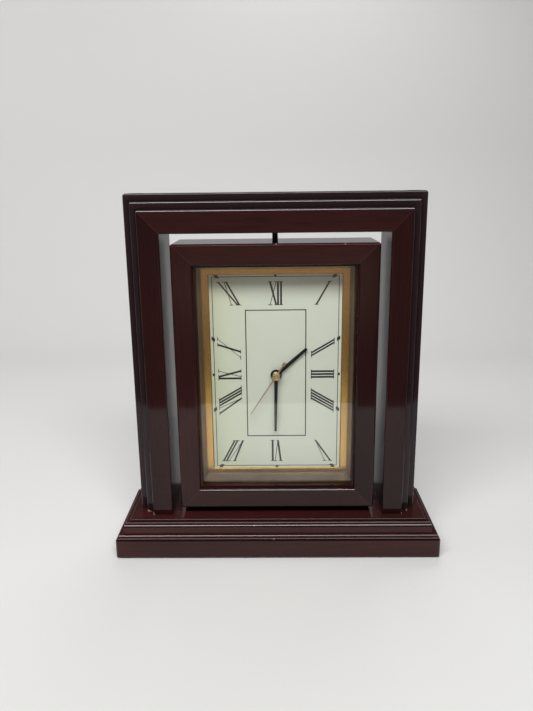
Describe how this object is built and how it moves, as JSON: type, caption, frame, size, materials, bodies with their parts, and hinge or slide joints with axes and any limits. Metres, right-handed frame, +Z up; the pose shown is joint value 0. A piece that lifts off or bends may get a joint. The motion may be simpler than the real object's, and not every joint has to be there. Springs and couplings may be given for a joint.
{
  "type": "swivel mantel clock",
  "caption": "Wooden mantel clock: a glazed quartz clock case turns on vertical pins inside a stepped frame on a stepped base.",
  "frame": {"origin": "centre of the felt under the base, on the swivel axis, at the level it rests on", "axes": "+X to the right seen from the dial side, +Y from the dial to the back, +Z up"},
  "size_m": [0.24, 0.084, 0.2643],
  "materials": {
    "mahogany": "gloss lacquer",
    "liner_wood": "satin lacquer",
    "felt": "matt felt",
    "brass": "satin",
    "black_steel": "blackened",
    "hand_black": "semi-gloss paint",
    "hand_copper": "copper colour",
    "steel": "bright",
    "iron": "bare",
    "copper_wire": "enamelled wire",
    "glass": "clear",
    "dial": "matt printed",
    "hardboard": "painted",
    "black_plastic": "moulded",
    "gear_plastic": "moulded",
    "circuit": "solder mask",
    "cell": "printed sleeve"
  },
  "bodies": {
    "stand": {"base_felt": "felt", "base_slab": "mahogany", "base_step": "mahogany", "left_jamb": "mahogany", "right_jamb": "mahogany", "lintel": "mahogany", "lower_pivot_bush": "brass", "upper_pivot_bush": "brass"},
    "battery": {"battery": "cell"},
    "seconds": {"second_hand": "hand_copper", "second_cap": "brass", "second_wheel": "gear_plastic"},
    "intermediate": {"intermediate_wheel": "gear_plastic"},
    "rotor": {"rotor": "gear_plastic", "rotor_magnet": "iron"},
    "third": {"third_wheel": "gear_plastic"},
    "centre": {"centre_wheel": "gear_plastic"},
    "minutes": {"minute_hand": "hand_black", "cannon_pinion": "gear_plastic", "clutch_washer": "steel"},
    "minute_wheel": {"minute_wheel": "gear_plastic"},
    "hours": {"hour_hand": "hand_black", "hour_wheel": "gear_plastic"},
    "setting": {"setting_wheel": "gear_plastic", "setting_knob": "black_plastic"},
    "case": {"back_panel": "hardboard", "bezel": "brass", "bottom_liner": "liner_wood", "bush_nut": "brass", "case_bottom_rail": "mahogany", "case_left_stile": "mahogany", "case_right_stile": "mahogany", "case_top_rail": "mahogany", "centre_bush": "brass", "circuit_board": "circuit", "coil_bobbin": "iron", "coil_winding": "copper_wire", "dial_board": "hardboard", "dial_plate": "dial", "front_housing": "black_plastic", "glass": "glass", "left_batten": "hardboard", "left_liner": "liner_wood", "lower_pivot_pin": "black_steel", "negative_contact": "steel", "positive_contact": "steel", "quartz_crystal": "steel", "rear_cover": "black_plastic", "right_batten": "hardboard", "right_liner": "liner_wood", "stator": "iron", "top_liner": "liner_wood", "upper_pivot_pin": "black_steel"}
  },
  "joints": [
    {"name": "case_swivel", "type": "hinge", "parent": "stand", "child": "case", "pos_m": [0, 0, 0.13105], "axis": [0, 0, 1], "continuous": true},
    {"name": "battery_slide", "type": "slide", "parent": "case", "child": "battery", "axis": [0, 1, 0], "range_m": [0, 0.03]},
    {"name": "second_hand_turn", "type": "hinge", "parent": "case", "child": "seconds", "pos_m": [0, 0, 0.13105], "axis": [0, 1, 0], "continuous": true},
    {"name": "intermediate_turn", "type": "hinge", "parent": "case", "child": "intermediate", "pos_m": [0, 0, 0.13861], "axis": [0, 1, 0], "continuous": true},
    {"name": "rotor_turn", "type": "hinge", "parent": "case", "child": "rotor", "pos_m": [0, 0, 0.14449], "axis": [0, 1, 0], "continuous": true},
    {"name": "third_turn", "type": "hinge", "parent": "case", "child": "third", "pos_m": [-0.0076, 0, 0.13105], "axis": [0, 1, 0], "continuous": true},
    {"name": "centre_turn", "type": "hinge", "parent": "case", "child": "centre", "pos_m": [0, 0, 0.13105], "axis": [0, 1, 0], "continuous": true},
    {"name": "minute_hand_turn", "type": "hinge", "parent": "case", "child": "minutes", "pos_m": [0, 0, 0.13105], "axis": [0, 1, 0], "continuous": true},
    {"name": "minute_wheel_turn", "type": "hinge", "parent": "case", "child": "minute_wheel", "pos_m": [0.0078, 0, 0.13105], "axis": [0, 1, 0], "continuous": true},
    {"name": "hour_hand_turn", "type": "hinge", "parent": "case", "child": "hours", "pos_m": [0, 0, 0.13105], "axis": [0, 1, 0], "continuous": true},
    {"name": "setting_turn", "type": "hinge", "parent": "case", "child": "setting", "pos_m": [0.01638, 0, 0.13105], "axis": [0, 1, 0], "continuous": true}
  ],
  "couplings": [
    {"joint": "intermediate_turn", "follows": "second_hand_turn", "ratio": -5},
    {"joint": "rotor_turn", "follows": "second_hand_turn", "ratio": 30},
    {"joint": "third_turn", "follows": "second_hand_turn", "ratio": -0.13333},
    {"joint": "centre_turn", "follows": "second_hand_turn", "ratio": 0.016667},
    {"joint": "minute_wheel_turn", "follows": "minute_hand_turn", "ratio": -0.33333},
    {"joint": "hour_hand_turn", "follows": "minute_hand_turn", "ratio": 0.083333},
    {"joint": "setting_turn", "follows": "minute_hand_turn", "ratio": 0.71429}
  ]
}
